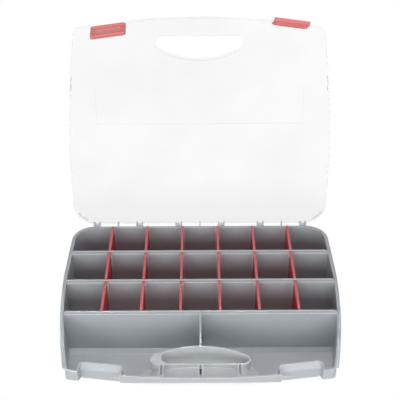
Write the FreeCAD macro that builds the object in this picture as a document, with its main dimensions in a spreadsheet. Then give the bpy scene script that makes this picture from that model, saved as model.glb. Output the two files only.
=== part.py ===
"""Compartment storage box: a moulded tray with a hinged clear lid, two snap latches and loose dividers.

Millimetres. +X is the box's right, +Y its back (hinge) side and +Z up. The origin is on the flat
underside. Depths are counted forward from the lid's hinge axis. The lid and its latches are
modelled shut and then swung open about the hinge by the sheet's angles.
"""
import FreeCAD, Part
import math
import os

from FreeCAD import Placement, Rotation, Vector

TOUCH = 1e-6
RING_STEP = 30
CORNER_STEPS = 3
WALL_STEPS = 5
EAR_STEPS = 6

doc = FreeCAD.newDocument("StorageBox")
sheet = doc.addObject("Spreadsheet::Sheet", "Sizes")

SIZES = [
    # plan of the tray's outer wall, as half widths at four depths
    ("hinge_y", 131.0),
    ("back_half", 156.5),
    ("widest_half", 158.0),
    ("widest_depth", 96.0),
    ("waist_half", 150.7),
    ("waist_depth", 192.0),
    ("corner_half", 139.9),
    ("corner_depth", 250.4),
    ("front_depth", 262.9),
    ("back_corner_radius", 25.0),
    ("front_corner_radius", 5.5),
    # tray
    ("rim_height", 54.0),
    ("wall", 2.0),
    ("flange", 2.0),
    ("back_flange", 0.7),
    ("flange_end_depth", 247.0),
    ("groove_width", 1.0),
    ("groove_depth", 0.8),
    ("back_gap", 4.2),
    ("row_depth", 51.6),
    ("wall_rise", 4.0),
    ("top_radius", 3.0),
    ("ramp_depth", 176.0),
    ("ramp_rise", 45.8),
    ("foot_chamfer", 1.5),
    ("floor_chamfer", 2.5),
    ("wall_step", 0.3),
    # handle
    ("hand_half", 52.4),
    ("hand_back", 216.0),
    ("hand_front", 243.3),
    ("hand_arc_radius", 97.5),
    ("tube_wall", 1.6),
    ("land_length", 9.5),
    ("pit_depth", 234.0),
    ("pit_x", -46.4),
    ("pit_pitch", 1.8),
    ("pit_radius", 0.75),
    ("pit_drop", 0.9),
    ("arch_height", 47.8),
    ("arch_back_depth", 236.0),
    ("arch_back_half", 50.0),
    ("arch_back_drop", 8.0),
    ("arch_front_half", 72.0),
    ("arch_front_drop", 2.3),
    ("bar_rib_pitch", 40.7),
    ("bar_rib", 1.2),
    ("bar_rib_gap", 2.4),
    ("fairing_depth", 237.0),
    ("fairing_back_reach", 54.0),
    ("fairing_front_reach", 69.0),
    # dividers and their guides
    ("divider_pitch", 43.9),
    ("divider", 1.6),
    ("guide", 1.2),
    ("guide_proud", 2.0),
    ("guide_drop", 2.0),
    ("guide_lead", 1.5),
    ("fit_gap", 0.3),
    ("divider_chamfer", 2.6),
    # hinge
    ("hinge_pitch", 103.6),
    ("ear_spread", 27.0),
    ("ear", 1.5),
    ("ear_radius", 4.0),
    ("ear_foot", 9.0),
    ("pin_radius", 1.95),
    ("pin_gap", 0.05),
    ("knuckle", 4.8),
    ("knuckle_radius", 3.2),
    ("heel_drop", 3.6),
    ("lid_opening", 101.0),
    # lid
    ("lid_wall", 1.8),
    ("lid_height", 7.2),
    ("lid_back", 2.7),
    ("lid_radius", 3.0),
    ("panel_rise", 1.5),
    ("panel_back", 12.0),
    ("panel_front", 182.0),
    ("panel_half", 139.0),
    ("panel_slope", 11.0),
    ("panel_back_slope", 5.5),
    ("panel_radius", 10.0),
    ("label_half", 125.0),
    ("label_back", 132.0),
    ("label_front", 176.0),
    ("label_depth", 0.5),
    ("lid_corner_spread", 3.5),
    ("lid_hole_half", 51.4),
    ("lid_hole_back", 213.5),
    ("lid_hole_front", 241.0),
    # latches and their recesses
    ("latch_x", 105.0),
    ("latch_width", 41.0),
    ("latch_length", 22.0),
    ("latch", 2.0),
    ("latch_inset", 3.0),
    ("latch_lift", 1.6),
    ("barrel_radius", 2.2),
    ("barrel_length", 36.2),
    ("trunnion_radius", 1.45),
    ("boss_radius", 2.9),
    ("hook_down", 14.55),
    ("hook_proud", 2.8),
    ("hook_land", 1.0),
    ("hook_height", 3.4),
    ("tip_thickness", 4.0),
    ("tip_length", 4.0),
    ("tip_radius", 3.0),
    ("grip_rib", 0.5),
    ("grip_pitch", 2.2),
    ("grip_share", 0.8),
    ("engaged_tilt", 25.5),
    ("left_tilt", 20.0),
    ("right_tilt", -22.0),
    ("recess_width", 44.0),
    ("recess_depth", 14.0),
    ("recess_wall", 1.5),
    ("recess_radius", 3.0),
    ("recess_lip_drop", 23.3),
    ("bead_drop", 8.6),
    ("bead_proud", 2.0),
    ("bead_height", 6.4),
    ("bead_land", 1.8),
    ("peg_x", 78.2),
    ("peg", 1.2),
    ("peg_rise", 2.5),
    # how far cutting solids run past what they cut, and fused ones into what carries them
    ("overrun", 5.0),
    ("sink", 0.5),
]
for line, (alias, value) in enumerate(SIZES, start=1):
    sheet.set(f"A{line}", alias)
    sheet.set(f"B{line}", str(value))
    sheet.setAlias(f"B{line}", alias)
doc.recompute()


def size(alias):
    return float(sheet.get(alias))


def y_at(depth):
    """The Y of a depth counted forward from the hinge axis."""
    return size("hinge_y") - depth


# drawing

PLANES = {
    "XY": (Rotation(), "z"),
    "XZ": (Rotation(Vector(1, 0, 0), 90), "y"),
    "YZ": (Rotation(Vector(1, 1, 1), 120), "x"),
}


def closed(points):
    """Straight edges round a list of (u, v) points."""
    corners = [Vector(u, v, 0) for u, v in points]
    return [Part.LineSegment(a, b) for a, b in zip(corners, corners[1:] + corners[:1])]


def rectangle(low_u, low_v, high_u, high_v):
    return closed([(low_u, low_v), (high_u, low_v), (high_u, high_v), (low_u, high_v)])


def ring(centre, radius, first, last, steps):
    """Points on a circle from the angle `first` to `last`, for small round forms that need few faces."""
    angles = [math.radians(first + (last - first) * n / steps) for n in range(steps + 1)]
    return [(centre[0] + radius * math.cos(a), centre[1] + radius * math.sin(a)) for a in angles]


def disc(centre, radius):
    """A whole circle drawn with few straight sides."""
    return closed(ring(centre, radius, 0, 360 - RING_STEP, 360 // RING_STEP - 1))


def arc(start, middle, end):
    return Part.Arc(Vector(*start, 0), Vector(*middle, 0), Vector(*end, 0))


def edge_geometry(edge):
    """A planar edge as the sketch geometry that draws it."""
    first, last = edge.ParameterRange
    start, end = edge.valueAt(first), edge.valueAt(last)
    if isinstance(edge.Curve, Part.Line):
        return Part.LineSegment(start, end)
    return Part.Arc(start, edge.valueAt((first + last) / 2), end)


def rounded(geometry, radii):
    """The closed outline with its corners rounded: radii maps a corner's (u, v) to its radius."""
    slab = Part.Face(Part.Wire([g.toShape() for g in geometry])).extrude(Vector(0, 0, 1))
    for (u, v), radius in radii.items():
        corner = Part.Vertex(u, v, 0)
        upright = [
            e
            for e in slab.Edges
            if e.distToShape(corner)[0] < TOUCH and abs(e.tangentAt(e.FirstParameter).z) > 1 - TOUCH
        ]
        slab = slab.makeFillet(radius, upright)
    floor = min(slab.Faces, key=lambda face: face.CenterOfMass.z)
    return [edge_geometry(edge) for edge in Part.__sortEdges__(floor.OuterWire.Edges)]


def outline(side=0.0, front=0.0, back=0.0, spread=0.0):
    """The box's plan grown by side, front and back; spread makes its front corners wider and rounder."""
    back_x, back_y = size("back_half") + side, y_at(size("back_gap")) + back
    wide_x, wide_y = size("widest_half") + side, y_at(size("widest_depth"))
    waist_x, waist_y = size("waist_half") + side, y_at(size("waist_depth"))
    corner_x, corner_y = size("corner_half") + side + spread, y_at(size("corner_depth")) - front
    front_y = y_at(size("front_depth")) - front
    sharp = [
        Part.LineSegment(Vector(-back_x, back_y, 0), Vector(back_x, back_y, 0)),
        Part.LineSegment(Vector(back_x, back_y, 0), Vector(wide_x, wide_y, 0)),
        arc((wide_x, wide_y), (waist_x, waist_y), (corner_x, corner_y)),
        arc((corner_x, corner_y), (0, front_y), (-corner_x, corner_y)),
        arc((-corner_x, corner_y), (-waist_x, waist_y), (-wide_x, wide_y)),
        Part.LineSegment(Vector(-wide_x, wide_y, 0), Vector(-back_x, back_y, 0)),
    ]
    at_back = size("back_corner_radius") + side
    at_front = size("front_corner_radius") + min(side, front) + spread
    return rounded(
        sharp,
        {
            (back_x, back_y): at_back,
            (-back_x, back_y): at_back,
            (corner_x, corner_y): at_front,
            (-corner_x, corner_y): at_front,
        },
    )


def front_radius():
    """The radius of the front edge, from its corners and its middle."""
    sag = size("front_depth") - size("corner_depth")
    return (size("corner_half") ** 2 + sag**2) / (2 * sag)


def front_at(x):
    """The depth of the front edge at x."""
    radius = front_radius()
    return size("front_depth") - radius + math.sqrt(radius**2 - x**2)


def side_at(depth):
    """The half width of the outer wall at a depth."""
    widest, waist, corner = (
        (size("widest_depth"), size("widest_half")),
        (size("waist_depth"), size("waist_half")),
        (size("corner_depth"), size("corner_half")),
    )
    if depth < widest[0]:
        share = depth / widest[0]
        return size("back_half") + share * (widest[1] - size("back_half"))
    bow = Part.Circle(Vector(*widest, 0), Vector(*waist, 0), Vector(*corner, 0))
    outward = math.copysign(1, waist[1] - bow.Center.y)
    return bow.Center.y + outward * math.sqrt(bow.Radius**2 - (depth - bow.Center.x) ** 2)


def back_at(x):
    """The depth of the back wall's face at x, which falls away round the corner."""
    lean = math.atan2(
        size("widest_half") - size("back_half"), size("widest_depth") - size("back_gap")
    )
    radius = size("back_corner_radius")
    past = abs(x) - size("back_half") + radius / math.tan(math.pi / 4 + lean / 2)
    return size("back_gap") + radius - math.sqrt(radius**2 - max(past, 0) ** 2)


def hand_shape(inset, land=0.0, hole="hand"):
    """The hand hole's D: flat front, bowed back and rounded ends, cut short on the left by land."""
    front = y_at(size(f"{hole}_front") - inset)
    radius = size("hand_arc_radius") - inset
    centre_y = y_at(size(f"{hole}_back") + inset) - radius
    rise = front - centre_y
    half = size(f"{hole}_half") - inset
    ends = {}
    for sign, reach in ((1, half), (-1, half - land)):
        half_b = rise + radius - reach
        end_radius = -half_b + math.sqrt(half_b**2 + radius**2 - reach**2 - rise**2)
        end_x = sign * (reach - end_radius)
        end_y = front + end_radius
        away = Vector(end_x, end_y - centre_y, 0)
        away.normalize()
        meet = Vector(0, centre_y, 0) + away * radius
        ends[sign] = (end_x, end_y, end_radius, (meet.x, meet.y), reach * sign)
    right, left = ends[1], ends[-1]
    return [
        Part.LineSegment(Vector(left[0], front, 0), Vector(right[0], front, 0)),
        arc((right[0], front), (right[4], right[1]), right[3]),
        arc(right[3], (0, centre_y + radius), left[3]),
        arc(left[3], (left[4], left[1]), (left[0], front)),
    ]


# document objects


def sketch(name, plane, at, geometry):
    """A sketch on a plane that stands at the expression `at` along that plane's normal axis."""
    rotation, axis = PLANES[plane]
    drawn = doc.addObject("Sketcher::SketchObject", name)
    drawn.addGeometry(geometry, False)
    drawn.Placement = Placement(Vector(), rotation)
    drawn.setExpression(f".Placement.Base.{axis}", at)
    return drawn


def prism(name, plane, at, length, geometry):
    """A closed sketch pushed along its normal by the expression `length`."""
    made = doc.addObject("Part::Extrusion", name)
    made.Base = sketch(name + "_sketch", plane, at, geometry)
    made.DirMode = "Normal"
    made.setExpression("LengthFwd", length)
    made.Solid = True
    return made


def cylinder(name, x, y, z, radius, length):
    """A cylinder along X, centred at (x, y, z); every argument but the name is an expression."""
    made = doc.addObject("Part::Cylinder", name)
    made.Placement = Placement(Vector(), Rotation(Vector(0, 1, 0), 90))
    made.setExpression("Radius", radius)
    made.setExpression("Height", length)
    made.setExpression(".Placement.Base.x", f"{x} - ({length}) / 2")
    made.setExpression(".Placement.Base.y", y)
    made.setExpression(".Placement.Base.z", z)
    return made


def fuse(name, shapes):
    made = doc.addObject("Part::MultiFuse", name)
    made.Shapes = shapes
    made.Refine = True
    return made


def cut(name, base, tools):
    made = doc.addObject("Part::Cut", name)
    made.Base = base
    made.Tool = tools[0] if len(tools) == 1 else fuse(name + "_tools", tools)
    made.Refine = True
    return made


def common(name, *shapes):
    made = doc.addObject("Part::MultiCommon", name)
    made.Shapes = list(shapes)
    return made


def loft(name, sketches):
    made = doc.addObject("Part::Loft", name)
    made.Sections = sketches
    made.Solid = True
    made.Ruled = True
    return made


def at_latch(piece, side):
    """Carry a piece drawn about the front edge to the left or right latch, square to the edge there."""
    turn = math.degrees(math.asin(size("latch_x") / front_radius())) * side
    piece.Placement = Placement(
        Vector(side * size("latch_x"), y_at(front_at(size("latch_x"))), 0),
        Rotation(Vector(0, 0, 1), turn),
    )
    return piece


def ease_edges(name, base, wanted, first, second):
    """Chamfer those edges of a computed object that the test `wanted` picks, by two widths."""
    made = doc.addObject("Part::Chamfer", name)
    made.Base = base
    picked = [n for n, edge in enumerate(base.Shape.Edges, start=1) if wanted(edge)]
    made.Edges = [(n, first, second) for n in picked]
    return made


# tray


def ramp_profile(lift):
    """Side view of all above the floor, which climbs to the front; lift is the floor's thickness."""
    over = size("overrun")
    slope = size("ramp_rise") / (size("front_depth") - size("ramp_depth"))
    upward = lift * math.hypot(1, slope)
    foot = size("ramp_depth") - (upward - lift) / slope
    front = size("front_depth") + over
    return closed(
        [
            (y_at(-over), lift),
            (y_at(foot), lift),
            (y_at(front), lift + (front - foot) * slope),
            (y_at(front), size("rim_height") + size("overrun") + size("ramp_rise")),
            (y_at(-over), size("rim_height") + size("overrun") + size("ramp_rise")),
        ]
    )


def arch(name, wall):
    """The finger space under the grip: a flared arch, grown by wall."""
    sections = []
    for label, depth, half, drop in (
        ("back", size("arch_back_depth") - wall, size("arch_back_half"), size("arch_back_drop")),
        ("front", size("front_depth") + size("overrun"), size("arch_front_half"), size("arch_front_drop")),
    ):
        top = size("arch_height") + wall
        half += wall
        spring = top - drop
        edges = [
            Part.LineSegment(Vector(-half, spring, 0), Vector(-half, -size("overrun"), 0)),
            Part.LineSegment(Vector(-half, -size("overrun"), 0), Vector(half, -size("overrun"), 0)),
            Part.LineSegment(Vector(half, -size("overrun"), 0), Vector(half, spring, 0)),
            arc((half, spring), (0, top), (-half, spring)),
        ]
        sections.append(sketch(f"{name}_{label}", "XZ", f"Sizes.hinge_y - {depth}", edges))
    return loft(name, sections)


def recess(name, side, wall):
    """The latch's notch in the front wall, open below and round in its back corners, grown by wall."""
    half, back = size("recess_width") / 2 + wall, size("recess_depth") + wall
    radius = size("recess_radius") + wall
    right_corner = ring((half - radius, back - radius), radius, 0, 90, CORNER_STEPS)
    left_corner = ring((radius - half, back - radius), radius, 90, 180, CORNER_STEPS)
    front = [(-half, -size("overrun")), (half, -size("overrun"))]
    shape = closed([*front, *right_corner, *left_corner])
    return at_latch(
        prism(name, "XY", "-Sizes.overrun", "Sizes.rim_height + 2 * Sizes.overrun", shape), side
    )


def recess_lip(side):
    """The recess's back wall where it reaches on below the sloped floor."""
    half, back = size("recess_width") / 2, size("recess_depth")
    shape = rectangle(-half, back, half, back + size("recess_wall"))
    slope = size("ramp_rise") / (size("front_depth") - size("ramp_depth"))
    floor = (front_at(size("latch_x")) - back - size("ramp_depth")) * slope + size("sink")
    low = size("rim_height") - size("recess_lip_drop")
    return at_latch(prism(f"recess_lip_{side + 1}", "XY", f"{low}", f"{floor - low}", shape), side)


def bead(side):
    """The catch across the recess's back wall: sloped above, undercut below."""
    middle = size("rim_height") - size("bead_drop")
    back = size("recess_depth") + size("sink")
    tip = size("recess_depth") - size("bead_proud")
    half_tip = size("bead_land") / 2
    shape = closed(
        [
            (back, middle + size("bead_height")),
            (size("recess_depth"), middle + size("bead_height")),
            (tip, middle + half_tip),
            (tip, middle - half_tip),
            (back, middle - half_tip - size("sink")),
        ]
    )
    length = size("recess_width") + 2 * size("sink")
    made = prism(f"bead_{side + 1}", "YZ", f"-{length} / 2", f"{length}", shape)
    return at_latch(made, side)


def row_wall(row):
    """A fixed wall across the box, with rounded upper ends that stand above the rim."""
    depth = size("back_gap") + size("wall") + row * (size("row_depth") + size("wall")) - size("wall")
    inner = side_at(depth + size("wall")) - size("wall") - size("fit_gap")
    buried = inner + size("wall") / 2 + size("fit_gap")
    rim, top, radius = size("rim_height"), size("rim_height") + size("wall_rise"), size("top_radius")
    floor, shoulder = size("wall") - size("sink"), rim - size("sink")
    shape = closed(
        [
            *ring((inner - radius, top - radius), radius, 0, 90, WALL_STEPS),
            *ring((radius - inner, top - radius), radius, 90, 180, WALL_STEPS),
            (-inner, shoulder),
            (-buried, shoulder),
            (-buried, floor),
            (buried, floor),
            (buried, shoulder),
            (inner, shoulder),
        ]
    )
    at = f"Sizes.hinge_y - {depth}"
    lower = rectangle(-inner, floor, inner, rim)
    return [
        prism(f"row_wall_{row}", "XZ", at, "Sizes.wall - Sizes.wall_step", shape),
        prism(f"row_wall_foot_{row}", "XZ", at, "Sizes.wall", lower),
    ]


def centre_wall():
    """The wall that parts the two large front compartments, from the last row wall to the hand tube."""
    start = size("back_gap") + size("wall") + 3 * (size("row_depth") + size("wall")) - size("sink")
    end = size("hand_back") + size("tube_wall") / 2
    slope = size("ramp_rise") / (size("front_depth") - size("ramp_depth"))
    low = (end - size("ramp_depth")) * slope + size("wall") / 2
    top, radius = size("rim_height") + size("wall_rise"), size("top_radius")
    drop = size("wall_rise") + size("sink")
    face = size("lid_hole_back") - size("lid_wall") - size("fit_gap")
    shape = closed(
        [
            (y_at(start), size("wall") / 2),
            (y_at(start), top),
            *ring((y_at(face - radius), top - radius), radius, 90, 180, WALL_STEPS),
            (y_at(face), top - drop),
            (y_at(end), top - drop),
            (y_at(end), low),
            (y_at(size("ramp_depth")), size("wall") / 2),
        ]
    )
    return prism("centre_wall", "YZ", "-Sizes.wall / 2", "Sizes.wall", shape)


def row_depths(row):
    """The depths of a row's back and front walls."""
    start = size("back_gap") + size("wall") + row * (size("row_depth") + size("wall"))
    return start, start + size("row_depth")


def divider_places():
    return [(column - 2.5) * size("divider_pitch") for column in range(6)]


def guides():
    """Pairs of upright ribs that hold the dividers' edges; one sketch draws a column's six ribs."""
    low, high = size("wall") - size("sink"), size("rim_height") - size("guide_drop")
    proud, lead = size("guide_proud"), size("guide_lead")
    shape = []
    for row in range(3):
        back, front = row_depths(row)
        for face, away in ((back, 1), (front, -1)):
            shape += closed(
                [
                    (y_at(face - away * size("sink")), low),
                    (y_at(face + away * proud), low),
                    (y_at(face + away * proud), high - lead),
                    (y_at(face + away * size("sink")), high),
                    (y_at(face - away * size("sink")), high),
                ]
            )
    made = []
    slot = size("divider") / 2 + size("fit_gap")
    for column, x in enumerate(divider_places(), start=1):
        for side, start in (("left", x - slot - size("guide")), ("right", x + slot)):
            made.append(prism(f"guide_{column}_{side}", "YZ", f"{start}", "Sizes.guide", shape))
    return made


def rib_pairs():
    """The middles of the three pairs of ribs across the grip, and the depth of the wall before each."""
    outer = size("bar_rib_gap") / 2 + size("bar_rib")
    return [
        (x, front_at(abs(x) + outer) - size("wall"))
        for x in (-size("bar_rib_pitch"), 0.0, size("bar_rib_pitch"))
    ]


def bar_ribs():
    """Three pairs of ribs across the grip's open channel."""
    shape = []
    near, far = size("bar_rib_gap") / 2, size("bar_rib_gap") / 2 + size("bar_rib")
    back = size("hand_front") - size("tube_wall") / 2
    for x, wall_face in rib_pairs():
        front = wall_face + size("wall") / 2
        shape += rectangle(x - far, y_at(front), x - near, y_at(back))
        shape += rectangle(x + near, y_at(front), x + far, y_at(back))
    return prism(
        "bar_ribs", "XY", "Sizes.arch_height", "Sizes.rim_height - Sizes.arch_height", shape
    )


def fairings():
    """The flared shoulders that fall from the grip's ends to the sloped floor and the front wall."""
    inner = size("bar_rib_pitch") + size("bar_rib_gap") / 2 + size("bar_rib") / 2
    top = size("rim_height") - size("fit_gap")
    slope = size("ramp_rise") / (size("front_depth") - size("ramp_depth"))
    shoulders = []
    for side in (-1, 1):
        sections = []
        for label, depth, reach in (
            ("back", size("fairing_depth"), size("fairing_back_reach")),
            ("front", front_at(inner) - size("wall") / 2, size("fairing_front_reach")),
        ):
            floor = (depth - size("ramp_depth")) * slope + size("wall") / 2
            corners = closed([(side * inner, floor), (side * inner, top), (side * reach, floor)])
            sections.append(sketch(f"shoulder_{side + 1}_{label}", "XZ", f"{y_at(depth)}", corners))
        shoulders.append(loft(f"shoulder_{side + 1}", sections))
    half_wall = size("wall") / 2
    bound = prism("shoulder_bound", "XY", "0", "Sizes.rim_height", outline(-half_wall, -half_wall))
    return common("fairings", fuse("shoulders", shoulders), bound)


def bar_slots():
    """The slots through the grip between the ribs of each pair."""
    half = size("bar_rib_gap") / 2
    shape = []
    for x, wall_face in rib_pairs():
        shape += rectangle(x - half, y_at(wall_face), x + half, y_at(size("hand_front")))
    return prism("bar_slots", "XY", "Sizes.rim_height / 2", "Sizes.rim_height", shape)


def land_pits():
    """Two small round pits in the land at the left end of the hand hole."""
    shape = []
    for side in (-1, 1):
        place = (size("pit_x") + side * size("pit_pitch") / 2, y_at(size("pit_depth")))
        shape += disc(place, size("pit_radius"))
    return prism("land_pits", "XY", "Sizes.rim_height - Sizes.pit_drop", "Sizes.overrun", shape)


def pegs():
    """The two small pegs that centre the lid, and the ribs that tie them to the front wall."""
    wall_middle = front_at(size("peg_x")) - size("wall") / 2
    front = wall_middle - size("wall") / 2 - size("fit_gap")
    back = front - size("peg")
    stems, ties = [], []
    for side in (-1, 1):
        left = side * size("peg_x") - size("peg") / 2
        right = left + size("peg")
        stems += rectangle(left, y_at(front), right, y_at(back))
        ties += rectangle(left, y_at(wall_middle), right, y_at(back))
    foot = "Sizes.rim_height - Sizes.overrun"
    return [
        prism("pegs", "XY", foot, "Sizes.overrun + Sizes.peg_rise", stems),
        prism("peg_ribs", "XY", foot, "Sizes.overrun - Sizes.fit_gap", ties),
    ]


def hinge_places():
    """The middles of the hinges: one at the middle and those that the straight back edge takes."""
    straight = size("back_half") - size("back_corner_radius") - size("ear_spread")
    beside = int(straight / size("hinge_pitch"))
    return [place * size("hinge_pitch") for place in range(-beside, beside + 1)]


def knuckle_places():
    """The middles of the knuckles, two to a hinge, each with the side that its pin points to."""
    return [(x + end * size("ear_spread"), end) for x in hinge_places() for end in (-1, 1)]


def ear_places():
    """The middles of all hinge ears: two round each knuckle and one at the middle of each hinge."""
    step = (size("knuckle") + size("ear")) / 2 + size("fit_gap")
    pairs = [x + side * step for x, _ in knuckle_places() for side in (-1, 1)]
    return pairs + hinge_places()


def on_hinge(name, x, radius, length):
    """A cylinder about the hinge axis."""
    return cylinder(name, f"{x}", "Sizes.hinge_y", "Sizes.rim_height", radius, length)


def hinge_ears():
    axis = (size("hinge_y"), size("rim_height"))
    wall_face = y_at(size("back_gap") + size("sink"))
    nose = ring(axis, size("ear_radius"), -90, 180, EAR_STEPS)
    low = axis[1] - size("ear_foot")
    made = []
    for n, x in enumerate(ear_places(), start=1):
        deep = y_at(back_at(abs(x) + size("ear") / 2) + size("wall") / 2)
        shape = closed([*nose, (deep, axis[1]), (deep, low), (wall_face, low)])
        made.append(prism(f"ear_{n}", "YZ", f"{x} - Sizes.ear / 2", "Sizes.ear", shape))
    return made


def hinge_bores():
    """The bores in the outer ears, where the lid's pins sit."""
    step = (size("knuckle") + size("ear")) / 2 + size("fit_gap")
    radius, length = "Sizes.pin_radius + Sizes.pin_gap", "Sizes.ear + 2 * Sizes.fit_gap"
    return [
        on_hinge(f"hinge_bore_{n}", x + end * step, radius, length)
        for n, (x, end) in enumerate(knuckle_places(), start=1)
    ]


def round_the_foot(edge):
    """Whether an edge of the tray's form runs round its foot, and not across it or up a corner."""
    box = edge.BoundBox
    upright = box.XLength < TOUCH and box.YLength < TOUCH
    across = box.YLength < TOUCH and edge.CenterOfMass.y < y_at(size("widest_depth"))
    return edge.CenterOfMass.z < size("arch_height") and not (upright or across)


def build_tray():
    flange = prism(
        "flange",
        "XY",
        "Sizes.rim_height - Sizes.wall",
        "Sizes.wall",
        outline(size("flange"), size("flange"), size("back_flange")),
    )
    end = size("flange_end_depth")
    beyond = rectangle(
        -2 * size("widest_half"), y_at(2 * size("front_depth")), 2 * size("widest_half"), y_at(end)
    )
    flange = cut("side_flange", flange, [prism("flange_end", "XY", "0", "2 * Sizes.rim_height", beyond)])
    block = prism("wall_block", "XY", "0", "Sizes.rim_height", outline())
    wide = "4 * Sizes.widest_half"
    above_floor = prism("above_underside", "YZ", "-2 * Sizes.widest_half", wide, ramp_profile(0.0))
    body = common("outer_form", fuse("rimmed_block", [block, flange]), above_floor)
    doc.recompute()
    foot = size("foot_chamfer")
    body = ease_edges("eased_form", body, round_the_foot, foot, foot)

    thick = size("wall")
    inside = prism(
        "inside", "XY", "0", "Sizes.rim_height + Sizes.overrun", outline(-thick, -thick, -thick)
    )
    above_inner = prism("above_floor", "YZ", "-2 * Sizes.widest_half", wide, ramp_profile(thick))
    cavity = common("open_inside", inside, above_inner)
    doc.recompute()
    foot = size("floor_chamfer")
    cavity = ease_edges("eased_inside", cavity, round_the_foot, foot, foot)
    tube = prism("hand_tube", "XY", "-Sizes.overrun", "3 * Sizes.rim_height", hand_shape(0.0))
    keep = [tube, arch("arch_floor", size("wall"))]
    keep += [recess(f"recess_walls_{side + 1}", side, size("recess_wall")) for side in (-1, 1)]
    cavity = cut("cavity", cavity, keep)
    shell = cut("shell", body, [cavity])

    inset = size("flange") / 2 - size("groove_width") / 2
    outer_groove = outline(inset + size("groove_width"), size("flange"), size("back_flange") / 2)
    inner_groove = outline(inset, -size("wall"), -size("groove_width") / 2)
    groove = cut(
        "rim_groove",
        prism("groove_outer", "XY", "Sizes.rim_height - Sizes.groove_depth", "Sizes.overrun", outer_groove),
        [
            prism("groove_inner", "XY", "0", "2 * Sizes.rim_height", inner_groove),
            prism("groove_end", "XY", "0", "2 * Sizes.rim_height", beyond),
        ],
    )

    added = [piece for row in (1, 2, 3) for piece in row_wall(row)]
    added += [centre_wall(), bar_ribs(), fairings()]
    added += guides() + pegs() + hinge_ears() + [recess_lip(side) for side in (-1, 1)]
    whole = fuse("tray_solid", [shell, *added])

    wall_in = size("tube_wall")
    short = hand_shape(wall_in, size("land_length"))
    under_land = "Sizes.rim_height - Sizes.wall + Sizes.overrun"
    tools = [groove, arch("arch_space", 0.0), bar_slots(), land_pits(), *hinge_bores()]
    tools.append(prism("hand_hole", "XY", "-Sizes.overrun", "3 * Sizes.rim_height", short))
    tools.append(prism("land_hollow", "XY", "-Sizes.overrun", under_land, hand_shape(wall_in)))
    tools += [recess(f"recess_{side + 1}", side, 0.0) for side in (-1, 1)]
    opened = cut("tray_opened", whole, tools)
    return fuse("tray", [opened, *(bead(side) for side in (-1, 1))])


# lid


def lid_prism(name, start, length, side=0.0):
    """The lid's plan, grown by side, between two heights above the rim."""
    grow = size("flange") + side
    shape = outline(grow, side, size("lid_back") + side, size("lid_corner_spread"))
    return prism(name, "XY", f"Sizes.rim_height + {start}", length, shape)


def panel(name, wall):
    """The raised middle of the lid, sloped all round; wall moves it down to make its inner side."""
    over = size("sink")
    sections = []
    lower = size("lid_height") - wall
    spread = size("panel_slope")
    for label, grow, level in (
        ("foot", 1 + over / size("panel_rise"), lower - over),
        ("top", 0.0, lower + size("panel_rise")),
    ):
        half = size("panel_half") + spread * grow
        back = y_at(size("panel_back") - size("panel_back_slope") * grow)
        front = y_at(size("panel_front") + spread * grow)
        corners = [(half, front), (half, back), (-half, back), (-half, front)]
        shape = rounded(closed(corners), {c: size("panel_radius") for c in corners})
        sections.append(sketch(f"{name}_{label}", "XY", f"Sizes.rim_height + {level}", shape))
    return loft(name, sections)


def knuckles():
    """What the lid turns on: a knuckle with its pin, arm and stop heel at each pair of ears."""
    made = []
    axis_y, rim = size("hinge_y"), size("rim_height")
    knuckle = disc((axis_y, rim), size("knuckle_radius"))
    lid_back = size("back_gap") - size("lid_back")
    into_lid = y_at(lid_back + size("lid_wall") / 2)
    arm = rectangle(into_lid, rim + size("fit_gap"), axis_y, rim + size("knuckle_radius"))
    swing = math.radians(size("lid_opening"))
    reach = size("back_gap") - size("back_flange") - size("fit_gap")
    heel = []
    for depth, height in (
        (0.0, -size("knuckle_radius") / 2),
        (reach, -size("heel_drop") + size("pin_radius")),
        (reach, -size("heel_drop")),
        (0.0, -size("knuckle_radius")),
    ):
        shut_depth = depth * math.cos(swing) + height * math.sin(swing)
        shut_height = -depth * math.sin(swing) + height * math.cos(swing)
        heel.append((y_at(shut_depth), rim + shut_height))
    pin = size("knuckle") / 2 + size("fit_gap") + size("ear")
    for n, (x, end) in enumerate(knuckle_places(), start=1):
        start = f"{x} - Sizes.knuckle / 2"
        made += [
            prism(f"knuckle_{n}", "YZ", start, "Sizes.knuckle", knuckle),
            on_hinge(f"hinge_pin_{n}", x + end * pin / 2, "Sizes.pin_radius", f"{pin}"),
            prism(f"knuckle_arm_{n}", "YZ", start, "Sizes.knuckle", arm),
            prism(f"stop_heel_{n}", "YZ", start, "Sizes.knuckle", closed(heel)),
        ]
    return made


def ear_clearances():
    """Notches in the lid's back edge that let the tray's ears in at any angle."""
    reach = size("ear_radius") + size("fit_gap")
    rim = size("rim_height")
    notch = rectangle(y_at(reach), rim, y_at(-reach), rim + reach)
    start, length = "{} - Sizes.ear / 2 - Sizes.fit_gap", "Sizes.ear + 2 * Sizes.fit_gap"
    return [
        prism(f"ear_space_{n}", "YZ", start.format(x), length, notch)
        for n, x in enumerate(ear_places(), start=1)
    ]


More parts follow.
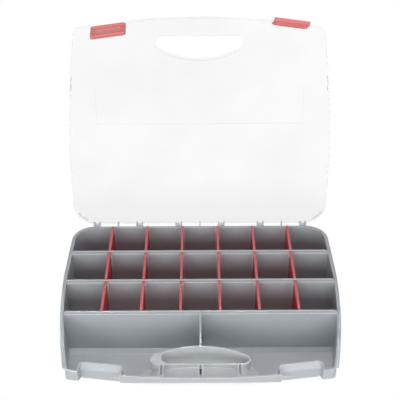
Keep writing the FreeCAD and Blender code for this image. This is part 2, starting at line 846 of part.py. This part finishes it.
def latch_mount(side):
    """A latch's window, trunnion bores, back rib and the two bosses that hold its trunnions."""
    tag = side + 1
    y, z = "Sizes.latch_inset", "Sizes.rim_height + Sizes.latch_lift"
    gap = size("fit_gap")
    reach = size("barrel_length") / 2 + gap
    side_wall = size("latch_width") / 2 + gap
    inset = size("latch_inset") + size("boss_radius") + gap
    window = rectangle(-side_wall, -size("overrun"), side_wall, inset)
    start, length = "Sizes.rim_height - Sizes.overrun", "3 * Sizes.overrun"
    opening = prism(f"latch_window_{tag}", "XY", start, length, window)
    axis = (size("latch_inset"), size("rim_height") + size("latch_lift"))
    round_boss = disc(axis, size("boss_radius"))
    far = side_wall + size("sink")
    bosses = [
        prism(f"boss_{tag}_left", "YZ", f"-{far}", f"{far - reach}", round_boss),
        prism(f"boss_{tag}_right", "YZ", f"{reach}", f"{far - reach}", round_boss),
    ]
    back_rib = prism(
        f"boss_rib_{tag}",
        "XY",
        "Sizes.rim_height + Sizes.fit_gap",
        "Sizes.lid_height - Sizes.lid_wall",
        rectangle(-far, inset, far, inset + size("lid_wall")),
    )
    bore = cylinder(
        f"trunnion_bore_{tag}", "0", y, z, "Sizes.trunnion_radius + Sizes.pin_gap", "Sizes.latch_width"
    )
    turned_bore = doc.addObject("Part::Compound", f"trunnion_space_{tag}")
    turned_bore.Links = [bore]
    placed = [at_latch(piece, side) for piece in (opening, turned_bore, back_rib, *bosses)]
    return placed[0], placed[1], placed[2], placed[3:]


def swing_open(piece):
    """Turn a finished piece from shut to open about the hinge axis."""
    turn = Rotation(Vector(1, 0, 0), -size("lid_opening"))
    axis = Vector(0, size("hinge_y"), size("rim_height"))
    piece.Placement = Placement(Vector(), turn, axis).multiply(piece.Placement)
    return piece


def build_lid():
    outer = lid_prism("lid_outer", "Sizes.fit_gap", "Sizes.lid_height - Sizes.fit_gap")
    inside = "Sizes.lid_height - Sizes.lid_wall + Sizes.overrun"
    inner = lid_prism("lid_inner", "-Sizes.overrun", inside, -size("lid_wall"))
    doc.recompute()
    wide = size("lid_radius") * (1 - math.tan(math.pi / 16))
    even = size("lid_radius") * (2 - math.sqrt(2))
    narrow = wide * math.tan(math.pi / 8)
    eased = [
        ease_edges(f"lid_eased_{n}", outer, on_top_of(outer), *widths)
        for n, widths in enumerate(((wide, narrow), (even, even), (narrow, wide)), start=1)
    ]
    top = common("lid_rounded", *eased)
    form = fuse("lid_form", [top, panel("panel_outer", 0.0)])
    hollow = fuse("lid_hollow", [inner, panel("panel_inner", size("lid_wall"))])
    shell = cut("lid_shell", form, [hollow])
    collar = prism(
        "lid_collar",
        "XY",
        "Sizes.rim_height + Sizes.fit_gap",
        "Sizes.lid_height - Sizes.fit_gap - Sizes.lid_wall / 2",
        hand_shape(-size("lid_wall"), hole="lid_hole"),
    )
    mounts = [latch_mount(side) for side in (-1, 1)]
    body = fuse("lid_body", [shell, collar, *(rib for _, _, rib, _ in mounts)])
    half = size("label_half")
    label = prism(
        "label_recess",
        "XY",
        "Sizes.rim_height + Sizes.lid_height + Sizes.panel_rise - Sizes.label_depth",
        "Sizes.overrun",
        rectangle(-half, y_at(size("label_front")), half, y_at(size("label_back"))),
    )
    hole = prism("lid_hand_hole", "XY", "0", "3 * Sizes.rim_height", hand_shape(0.0, hole="lid_hole"))
    windows = [opening for opening, _, _, _ in mounts]
    open_body = cut("lid_open_body", body, [label, hole, *windows, *ear_clearances()])
    bosses = [boss for _, _, _, pair in mounts for boss in pair]
    carried = fuse("lid_carried", [open_body, *bosses, *knuckles()])
    return swing_open(cut("lid", carried, [bore for _, bore, _, _ in mounts]))


def on_top_of(base):
    """A test for the edges of a prism's top face."""
    highest = max(v.Z for v in base.Shape.Vertexes)
    return lambda edge: all(abs(v.Z - highest) < TOUCH for v in edge.Vertexes)


# latches


def build_latch(tag, side, tilt):
    """A plate that hangs from a barrel, with a hook behind it and a thick finger tip."""
    half_plate = size("latch") / 2
    root = size("boss_radius") + size("fit_gap")
    end = -size("latch_length")
    hook, proud = -size("hook_down"), half_plate + size("hook_proud")
    tip = size("tip_thickness") - half_plate
    plate = closed(
        [
            (half_plate, -root),
            (half_plate, end),
            (-tip + size("sink"), end),
            (-tip, end + size("sink")),
            (-tip, end + size("tip_length") / 2),
            (-half_plate, end + size("tip_length")),
            (-half_plate, -root),
        ]
    )
    web = rectangle(-half_plate, -root - size("sink"), half_plate, 0.0)
    catch = closed(
        [
            (0.0, hook),
            (proud, hook),
            (proud, hook - size("hook_land")),
            (half_plate, hook - size("hook_height")),
            (0.0, hook - size("hook_height")),
        ]
    )
    width, barrel = size("latch_width") / 2, size("barrel_length") / 2
    radius = size("tip_radius")
    left_corner = ring((-width + radius, end + radius), radius, 180, 270, CORNER_STEPS)
    right_corner = ring((width - radius, end + radius), radius, 270, 360, CORNER_STEPS)
    face = closed([*left_corner, *right_corner, (width, 0.0), (-width, 0.0)])
    across = "Sizes.latch_width - Sizes.fit_gap"
    grip = size("grip_share") * barrel
    silhouette = prism(f"{tag}_silhouette", "XZ", "Sizes.overrun", "2 * Sizes.overrun", face)
    slab = prism(f"{tag}_slab", "YZ", f"-{width}", "Sizes.latch_width", plate)
    pieces = [
        common(f"{tag}_plate", slab, silhouette),
        prism(f"{tag}_web", "YZ", f"-{barrel}", "Sizes.barrel_length", web),
        prism(f"{tag}_catch", "YZ", f"-{barrel}", "Sizes.barrel_length", catch),
        cylinder(f"{tag}_barrel", "0", "0", "0", "Sizes.barrel_radius", "Sizes.barrel_length"),
        cylinder(f"{tag}_trunnion", "0", "0", "0", "Sizes.trunnion_radius", across),
    ]
    count = int((size("latch_length") - root - size("tip_length")) / size("grip_pitch"))
    for rib in range(1, count):
        level = -root - rib * size("grip_pitch")
        shape = closed(
            [
                (-half_plate + size("sink"), level),
                (-half_plate - size("grip_rib"), level - size("grip_rib")),
                (-half_plate + size("sink"), level - 2 * size("grip_rib")),
            ]
        )
        pieces.append(prism(f"{tag}_grip_{rib}", "YZ", f"-{grip}", f"{2 * grip}", shape))
    latch = at_latch(fuse(tag, pieces), side)
    pivot = Vector(0, size("latch_inset"), size("rim_height") + size("latch_lift"))
    hung = Placement(pivot, Rotation(Vector(1, 0, 0), size(tilt)))
    latch.Placement = latch.Placement.multiply(hung)
    return swing_open(latch)


# dividers


def build_divider(row, column):
    back, front = row_depths(row)
    gap, radius = size("fit_gap"), size("top_radius")
    rear, fore = y_at(back + gap), y_at(front - gap)
    top, bottom = size("rim_height") + size("wall_rise"), size("wall") + gap
    ease = size("divider_chamfer")
    shape = [
        (fore, bottom + ease),
        (fore + ease, bottom),
        (rear - ease, bottom),
        (rear, bottom + ease),
        *ring((rear - radius, top - radius), radius, 0, 90, CORNER_STEPS),
        *ring((fore + radius, top - radius), radius, 90, 180, CORNER_STEPS),
    ]
    name = f"divider_row{row + 1}_{column + 1}"
    x = divider_places()[column]
    return prism(name, "YZ", f"{x} - Sizes.divider / 2", "Sizes.divider", closed(shape))


parts = [build_tray(), build_lid()]
parts += [build_latch("latch_left", -1, "left_tilt"), build_latch("latch_right", 1, "right_tilt")]
parts += [build_divider(row, column) for row in range(3) for column in range(6)]
doc.recompute()

for made in doc.Objects:
    if {"Invalid", "Error"} & set(made.State):
        raise RuntimeError(f"{made.Name}: {made.State}")
for made in parts:
    made.Label = made.Name
    if made.Shape.isNull() or not made.Shape.isValid():
        raise RuntimeError(f"{made.Label} has no valid shape")
    box = made.Shape.BoundBox
    print(made.Label, len(made.Shape.Solids), round(made.Shape.Volume), box)

os.makedirs("parts", exist_ok=True)
for made in parts:
    made.Shape.exportStep(f"parts/{made.Label}.step")
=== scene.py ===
"""Looks for the compartment storage box: grey moulded tray, clear lid, red latches and dividers.

The solids come from the frame, in their own places. This script gives them their materials, adds
the thick bead on top of each divider, and sets up the photo's floor, light and camera. Lengths are
in metres and lamp powers in watts.
"""

import math

import bmesh
import bpy
from mathutils import Matrix, Vector


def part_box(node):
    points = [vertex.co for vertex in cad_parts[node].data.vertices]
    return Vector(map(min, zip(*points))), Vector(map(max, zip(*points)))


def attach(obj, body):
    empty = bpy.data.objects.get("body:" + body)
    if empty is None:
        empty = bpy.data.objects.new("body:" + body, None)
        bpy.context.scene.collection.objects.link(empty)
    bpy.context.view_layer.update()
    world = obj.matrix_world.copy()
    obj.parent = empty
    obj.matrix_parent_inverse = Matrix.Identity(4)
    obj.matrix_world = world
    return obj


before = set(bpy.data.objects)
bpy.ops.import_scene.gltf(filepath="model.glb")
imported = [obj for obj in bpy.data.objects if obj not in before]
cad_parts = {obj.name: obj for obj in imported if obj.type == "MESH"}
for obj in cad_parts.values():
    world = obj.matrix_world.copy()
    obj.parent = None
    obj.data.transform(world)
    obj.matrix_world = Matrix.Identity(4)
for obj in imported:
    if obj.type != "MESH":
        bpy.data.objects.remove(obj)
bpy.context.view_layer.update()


# node trees

NOISE_LOW, NOISE_HIGH = 0.3, 0.7  # nearly all of a noise texture's values lie between these
BEVEL_SAMPLES = 6
SURE_EDGE, NO_EDGE = 0.95, 0.999  # cosines between the rounded and the flat normal


def srgb(red, green, blue):
    """A colour given in 0 to 255 steps, as the linear values that a shader takes."""
    steps = [c / 255 for c in (red, green, blue)]
    return [s / 12.92 if s <= 0.04045 else ((s + 0.055) / 1.055) ** 2.4 for s in steps] + [1.0]


class Tree:
    """The nodes of a material or a world, and the short calls that add and join them."""

    def __init__(self, owner, output_kind):
        owner.use_nodes = True
        self.nodes = owner.node_tree.nodes
        self.links = owner.node_tree.links
        self.nodes.clear()
        self.output = self.add(output_kind)

    def add(self, kind, **settings):
        node = self.nodes.new(kind)
        for key, value in settings.items():
            setattr(node, key, value)
        return node

    def feed(self, socket, value):
        """Joins another node's output to the socket, or sets the socket to a plain value."""
        if isinstance(value, bpy.types.NodeSocket):
            self.links.new(value, socket)
        else:
            socket.default_value = value

    def remap(self, value, low, high, from_low=NOISE_LOW, from_high=NOISE_HIGH):
        node = self.add("ShaderNodeMapRange")
        self.feed(node.inputs["From Min"], from_low)
        self.feed(node.inputs["From Max"], from_high)
        self.feed(node.inputs["To Min"], low)
        self.feed(node.inputs["To Max"], high)
        self.feed(node.inputs["Value"], value)
        return node.outputs["Result"]

    def math(self, operation, first, second):
        node = self.add("ShaderNodeMath", operation=operation)
        self.feed(node.inputs[0], first)
        self.feed(node.inputs[1], second)
        return node.outputs["Value"]

    def vectors(self, operation, first, second):
        node = self.add("ShaderNodeVectorMath", operation=operation)
        self.feed(node.inputs[0], first)
        self.feed(node.inputs[1], second)
        return node.outputs

    def mix_shaders(self, share, first, second):
        node = self.add("ShaderNodeMixShader")
        self.feed(node.inputs["Fac"], share)
        self.feed(node.inputs[1], first)
        self.feed(node.inputs[2], second)
        return node.outputs["Shader"]

    def show(self, shader):
        self.feed(self.output.inputs["Surface"], shader)


class Plastic(Tree):
    """A solid's material: a Principled shader with noise, soft edges and bumps to drive it."""

    def __init__(self, name):
        self.material = bpy.data.materials.new(name)
        super().__init__(self.material, "ShaderNodeOutputMaterial")
        self.shader = self.add("ShaderNodeBsdfPrincipled")
        self.show(self.shader.outputs["BSDF"])
        self.place = self.add("ShaderNodeTexCoord").outputs["Object"]

    def set(self, name, value):
        self.feed(self.shader.inputs[name], value)

    def noise(self, scale, detail=3.0, roughness=0.5, stretch=None):
        node = self.add("ShaderNodeTexNoise")
        self.feed(node.inputs["Scale"], scale)
        self.feed(node.inputs["Detail"], detail)
        self.feed(node.inputs["Roughness"], roughness)
        source = self.place
        if stretch:
            stretched = self.add("ShaderNodeMapping")
            self.feed(stretched.inputs["Scale"], stretch)
            self.feed(stretched.inputs["Vector"], source)
            source = stretched.outputs["Vector"]
        self.feed(node.inputs["Vector"], source)
        return node.outputs["Fac"]

    def mix(self, share, first, second):
        node = self.add("ShaderNodeMix", data_type="RGBA")
        self.feed(node.inputs["Factor"], share)
        for name, value in (("A", first), ("B", second)):
            colour = [s for s in node.inputs if s.name == name and s.type == "RGBA"][0]
            self.feed(colour, value)
        return [s for s in node.outputs if s.type == "RGBA"][0]

    def soft_edges(self, radius):
        """A normal that rounds sharp edges, and how strongly each point lies on an edge."""
        bevel = self.add("ShaderNodeBevel", samples=BEVEL_SAMPLES)
        self.feed(bevel.inputs["Radius"], radius)
        rounded = bevel.outputs["Normal"]
        flat = self.add("ShaderNodeNewGeometry").outputs["Normal"]
        alike = self.vectors("DOT_PRODUCT", rounded, flat)["Value"]
        return rounded, self.remap(alike, 1.0, 0.0, SURE_EDGE, NO_EDGE)

    def bump(self, height, distance, strength, normal):
        node = self.add("ShaderNodeBump")
        self.feed(node.inputs["Strength"], strength)
        self.feed(node.inputs["Distance"], distance)
        self.feed(node.inputs["Height"], height)
        self.feed(node.inputs["Normal"], normal)
        return node.outputs["Normal"]


# plastics

EDGE_RADIUS = 0.0008
GRAIN_DEPTH, GRAIN_STRENGTH = 0.00006, 0.35
CLOUD_SHADE = 0.955  # the darker clouds' share of the body colour
# the paler edges are partly wear and partly a painted highlight of rounded edges catching the
# lamps
LEAST_WEAR_AND_HIGHLIGHT, WEAR_AND_HIGHLIGHT_SHARE = 0.45, 0.9
SMOOTHER, ROUGHER = -0.05, 0.06  # what the flow streaks add to the roughness
MOULDED_IOR = 1.49
GLOW_COLOUR, GLOW_DEPTH = (1.0, 0.25, 0.2), 0.0015  # the light that goes through red plastic

CLEAR_BODY = srgb(252, 252, 252)
CLEAR_IOR = 1.3
CLEAR_ROUGHNESS = (0.08, 0.16)
HAZE = (srgb(250, 250, 250), srgb(253, 253, 253))
# painted shade: the lid greys towards the hinge
HINGE_PAINTED_SHADE = srgb(245, 245, 245)
HINGE_PAINTED_SHADE_HEIGHTS = (0.05, 0.11)  # heights between which the painted shade by the hinge clears
KNUCKLE_TINT = srgb(186, 189, 192)
KNUCKLE_HEIGHTS = (0.0544, 0.0549)  # heights between which the knuckles' tint ends
KNUCKLE_DEPTHS = (0.134, 0.1344)  # places along the depth between which it ends
FACING_BLEND = 0.35
FACING_RANGE = (0.3, 1.0)  # from face on to edge on
GLOSSY_SHARES = (0.08, 0.26)  # the glossy plastic's share at those two
EDGE_SHARE = 0.26  # and its share on a sharp edge


def moulded(name, colour, wear_and_highlight_colour, roughness):
    """Moulded plastic: fine eroded grain, faint flow streaks, and slightly paler edges that are
    partly wear and partly a painted highlight.
    """
    made = Plastic(name)
    clouds = made.remap(made.noise(scale=26.0, detail=4.0), 0.0, 1.0)
    darker = [c * CLOUD_SHADE for c in colour[:3]] + [1.0]
    body = made.mix(clouds, darker, colour)
    rounded, on_edge = made.soft_edges(EDGE_RADIUS)
    patches = made.remap(made.noise(scale=160.0, detail=5.0, roughness=0.65), LEAST_WEAR_AND_HIGHLIGHT, 1.0)
    # paler edges: partly wear, partly a painted highlight
    wear_and_highlight = made.math("MULTIPLY", on_edge, patches)
    made.set("Base Color", made.mix(made.math("MULTIPLY", wear_and_highlight, WEAR_AND_HIGHLIGHT_SHARE), body, wear_and_highlight_colour))
    streaks = made.noise(scale=60.0, detail=3.0, roughness=0.55, stretch=(1.0, 0.25, 0.6))
    made.set("Roughness", made.remap(streaks, roughness + SMOOTHER, roughness + ROUGHER))
    made.set("IOR", MOULDED_IOR)
    grain = made.noise(scale=2600.0, detail=2.0, roughness=0.6)
    made.set("Normal", made.bump(grain, GRAIN_DEPTH, GRAIN_STRENGTH, rounded))
    return made


def red_plastic(name, colour, wear_and_highlight_colour, roughness, glow):
    """Moulded plastic that lets a little red light through."""
    made = moulded(name, colour, wear_and_highlight_colour, roughness)
    made.set("Subsurface Weight", glow)
    made.set("Subsurface Radius", GLOW_COLOUR)
    made.set("Subsurface Scale", GLOW_DEPTH)
    return made.material


def clear_plastic():
    """Clear polypropylene: almost unseen face on, glossier and greyer where it turns away."""
    made = Plastic("clear_polypropylene")
    made.set("Base Color", CLEAR_BODY)
    made.set("Roughness", made.remap(made.noise(scale=90.0, detail=4.0), *CLEAR_ROUGHNESS))
    made.set("IOR", CLEAR_IOR)
    made.set("Transmission Weight", 1.0)
    rounded, on_edge = made.soft_edges(EDGE_RADIUS)
    made.set("Normal", rounded)

    split = made.add("ShaderNodeSeparateXYZ")
    made.feed(split.inputs["Vector"], made.place)
    depth, height = split.outputs["Y"], split.outputs["Z"]
    haze = made.remap(made.noise(scale=14.0, detail=3.0), 0.0, 1.0)
    body = made.mix(haze, *HAZE)
    # painted shade on the lid below these heights, by the hinge
    off_hinge = made.remap(height, 0.0, 1.0, *HINGE_PAINTED_SHADE_HEIGHTS)
    plate = made.mix(off_hinge, HINGE_PAINTED_SHADE, body)
    above = made.remap(height, 0.0, 1.0, *KNUCKLE_HEIGHTS)
    behind = made.remap(depth, 0.0, 1.0, *KNUCKLE_DEPTHS)
    off_knuckles = made.math("MAXIMUM", above, behind)
    through = made.add("ShaderNodeBsdfTransparent")
    made.feed(through.inputs["Color"], made.mix(off_knuckles, KNUCKLE_TINT, plate))

    turned = made.add("ShaderNodeLayerWeight")
    made.feed(turned.inputs["Blend"], FACING_BLEND)
    turned_share = made.remap(turned.outputs["Facing"], *GLOSSY_SHARES, *FACING_RANGE)
    edge_share = made.math("MULTIPLY", on_edge, EDGE_SHARE)
    share = made.math("MAXIMUM", turned_share, edge_share)
    made.show(made.mix_shaders(share, through.outputs["BSDF"], made.shader.outputs["BSDF"]))
    return made.material


GREY = moulded(
    "grey_polypropylene", srgb(176, 181, 185), wear_and_highlight_colour=srgb(238, 241, 243), roughness=0.42
).material
# the latch red is paler and pinker than the dividers' red: a painted sheen, the studio's
# reflection painted into its colour
RED_LATCH_PAINTED_SHEEN = red_plastic(
    "red_latch_painted_sheen", srgb(220, 119, 117), wear_and_highlight_colour=srgb(238, 170, 166), roughness=0.42, glow=0.1
)
RED_DIVIDER = red_plastic(
    "red_divider", srgb(212, 62, 74), wear_and_highlight_colour=srgb(240, 132, 132), roughness=0.4, glow=0.2
)
# the bead's paler red is a painted highlight: a lit copy of the divider red for the dividers' top
# edges
RED_BEAD_PAINTED_HIGHLIGHT = red_plastic(
    "red_divider_bead_painted_highlight", srgb(214, 94, 98), wear_and_highlight_colour=srgb(234, 146, 144), roughness=0.42, glow=0.12
)
CLEAR = clear_plastic()


def finish_for(node):
    """The material of the frame's node of this name."""
    if node == "tray":
        return GREY
    if node == "lid":
        return CLEAR
    return RED_LATCH_PAINTED_SHEEN if node.startswith("latch") else RED_DIVIDER


for node_name, node_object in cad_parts.items():
    for material_slot in node_object.material_slots:
        material_slot.material = finish_for(node_name)


# the dividers' thickened upper edges

BEAD_WIDTH, BEAD_HEIGHT = 0.0031, 0.0019
BEAD_CORNER = 0.3  # the corners' cut as a share of the bead's height
BEAD_END = (  # in from the divider's end, down from its top, share of the full section
    (0.0009, 0.0009, 0.75),
    (0.0016, 0.0003, 0.95),
    (0.003, -0.00015, 1.0),
)


def edge_ring(mesh, y, top, width, height):
    """Eight corners round a bead's section at y."""
    half, ease = width / 2, height * BEAD_CORNER
    outline = [
        (-half + ease, top),
        (half - ease, top),
        (half, top - ease),
        (half, top - height + ease),
        (half - ease, top - height),
        (-half + ease, top - height),
        (-half, top - height + ease),
        (-half, top - ease),
    ]
    return [mesh.verts.new((x, y, z)) for x, z in outline]


def divider_bead(node):
    """The thick rounded strip along a divider's top, which rides on the divider."""
    low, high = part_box(node)
    mesh = bmesh.new()
    near = [(low[1] + along, drop, share) for along, drop, share in BEAD_END]
    far = [(high[1] - along, drop, share) for along, drop, share in reversed(BEAD_END)]
    rings = [
        edge_ring(mesh, y, high[2] - drop, BEAD_WIDTH * share, BEAD_HEIGHT * share)
        for y, drop, share in near + far
    ]
    for one, two in zip(rings, rings[1:]):
        for n in range(len(one)):
            after = (n + 1) % len(one)
            mesh.faces.new((one[n], one[after], two[after], two[n]))
    mesh.faces.new(rings[0])
    mesh.faces.new(reversed(rings[-1]))
    bmesh.ops.recalc_face_normals(mesh, faces=mesh.faces)
    data = bpy.data.meshes.new(f"{node}_top_bead")
    mesh.to_mesh(data)
    mesh.free()
    made = bpy.data.objects.new(f"{node}_top_bead", data)
    made.location.x = (low[0] + high[0]) / 2
    bpy.context.collection.objects.link(made)
    data.materials.append(RED_BEAD_PAINTED_HIGHLIGHT)
    bpy.context.view_layer.update()
    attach(made, node)


for node_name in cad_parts:
    if node_name.startswith("divider"):
        divider_bead(node_name)


# floor, light and camera

SEEN_RAYS = ("Is Camera Ray", "Is Glossy Ray", "Is Transmission Ray")
SKY, SKY_LIGHT = (0.97, 0.985, 1.0, 1.0), 0.15
WHITE, WHITE_LIGHT = (1.0, 1.0, 1.0, 1.0), 1.0
FLOOR_HALF = 4.0
# the dark paper is a painted shadow on the floor below the grip
PAINTED_SHADOW_PAPER, PALE_PAPER = 0.07, 0.86
SHADOW_OVAL_CENTRE = (0.0, -0.06, 0.0)  # the painted shadow: a dark oval painted on the floor below the grip's slots
SHADOW_OVAL_REACH = (0.15, 0.034, 1.0)
SHADOW_OVAL_FADE = (0.4, 1.0)  # shares of the reach between which the painted shadow fades out
PHOTO_PIXELS, FOCAL_PIXELS, SENSOR_WIDTH = 400, 844.4, 36.0
CAMERA_PLACE = (0.0002, -0.7316, 0.6947)
CAMERA_AIM = (0.0, 0.8197, -0.5729)
CAMERA_ROLL = math.radians(0.28)


def seen_share(tree):
    """One for the kinds of ray that show the background's white, and zero for the rest."""
    path = tree.add("ShaderNodeLightPath")
    share = path.outputs[SEEN_RAYS[0]]
    for ray in SEEN_RAYS[1:]:
        share = tree.math("MAXIMUM", share, path.outputs[ray])
    return share


def background(tree, colour, strength):
    node = tree.add("ShaderNodeBackground")
    tree.feed(node.inputs["Color"], colour)
    tree.feed(node.inputs["Strength"], strength)
    return node.outputs["Background"]


def build_world():
    """A dim sky that looks white."""
    world = bpy.data.worlds.new("studio")
    bpy.context.scene.world = world
    tree = Tree(world, "ShaderNodeOutputWorld")
    lit = background(tree, SKY, SKY_LIGHT)
    white = background(tree, WHITE, WHITE_LIGHT)
    tree.show(tree.mix_shaders(seen_share(tree), lit, white))


def outside_painted_shadow(tree):
    """Zero on the painted shadow, a dark oval painted on the floor below the grip and its slots,
    rising to one outside that oval.
    """
    place = tree.add("ShaderNodeNewGeometry").outputs["Position"]
    centred = tree.vectors("SUBTRACT", place, SHADOW_OVAL_CENTRE)["Vector"]
    scaled = tree.vectors("DIVIDE", centred, SHADOW_OVAL_REACH)["Vector"]
    length = tree.add("ShaderNodeVectorMath", operation="LENGTH")
    tree.feed(length.inputs[0], scaled)
    return tree.remap(length.outputs["Value"], 0.0, 1.0, *SHADOW_OVAL_FADE)


def build_floor():
    """Pale paper that looks white, but for a painted shadow, a dark oval, below the grip."""
    mesh = bpy.data.meshes.new("floor")
    half = FLOOR_HALF
    corners = [(-half, -half, 0), (half, -half, 0), (half, half, 0), (-half, half, 0)]
    mesh.from_pydata(corners, [], [(0, 1, 2, 3)])
    floor = bpy.data.objects.new("floor", mesh)
    bpy.context.collection.objects.link(floor)
    material = bpy.data.materials.new("pale_floor_with_painted_shadow")
    tree = Tree(material, "ShaderNodeOutputMaterial")
    outside = outside_painted_shadow(tree)
    paper = tree.add("ShaderNodeBsdfDiffuse")
    # the painted shadow darkens both the paper and its white
    tree.feed(paper.inputs["Color"], tree.remap(outside, PAINTED_SHADOW_PAPER, PALE_PAPER, 0.0, 1.0))
    white = tree.add("ShaderNodeEmission")
    tree.feed(white.inputs["Strength"], WHITE_LIGHT)
    white_share = tree.math("MULTIPLY", seen_share(tree), outside)
    tree.show(tree.mix_shaders(white_share, paper.outputs["BSDF"], white.outputs["Emission"]))
    mesh.materials.append(material)


def lamp(name, place, target, size, power, spread=180.0):
    """A rectangular lamp at the place, aimed at the target, with its spread in degrees."""
    data = bpy.data.lights.new(name, "AREA")
    data.shape = "RECTANGLE"
    data.size, data.size_y = size
    data.energy = power
    data.spread = math.radians(spread)
    made = bpy.data.objects.new(name, data)
    made.location = place
    aim = Vector(target) - Vector(place)
    made.rotation_euler = aim.to_track_quat("-Z", "Y").to_euler()
    bpy.context.collection.objects.link(made)


def build_camera():
    """The photograph's camera, fitted to the rim, the row walls, the hinge and the lid."""
    data = bpy.data.cameras.new("photo_camera")
    data.sensor_fit = "HORIZONTAL"
    data.sensor_width = SENSOR_WIDTH
    data.lens = FOCAL_PIXELS / PHOTO_PIXELS * SENSOR_WIDTH
    camera = bpy.data.objects.new("photo_camera", data)
    bpy.context.collection.objects.link(camera)
    forward = Vector(CAMERA_AIM).normalized()
    level = Vector((1.0, 0.0, 0.0))
    upright = level.cross(forward)
    right = level * math.cos(CAMERA_ROLL) - upright * math.sin(CAMERA_ROLL)
    up = level * math.sin(CAMERA_ROLL) + upright * math.cos(CAMERA_ROLL)
    turn = Matrix((right, up, -forward)).transposed().to_4x4()
    camera.matrix_world = Matrix.Translation(CAMERA_PLACE) @ turn
    bpy.context.scene.camera = camera


build_world()
build_floor()
lamp("key", (-0.25, -1.9, 0.71), (0.0, 0.0, 0.03), size=(2.5, 1.0), power=35.0)
lamp("top", (-0.05, 0.0, 2.1), (0.0, 0.0, 0.05), size=(0.9, 0.9), power=13.0)
lamp(
    "front_top", (-0.05, -0.35, 1.3), (0.0, -0.085, 0.02), size=(0.4, 0.1), power=0.065, spread=9.0
)
lamp("fill", (1.5, -0.6, 1.2), (0.0, 0.05, 0.05), size=(1.2, 1.0), power=4.0)
build_camera()
bpy.context.scene.view_settings.view_transform = "Standard"
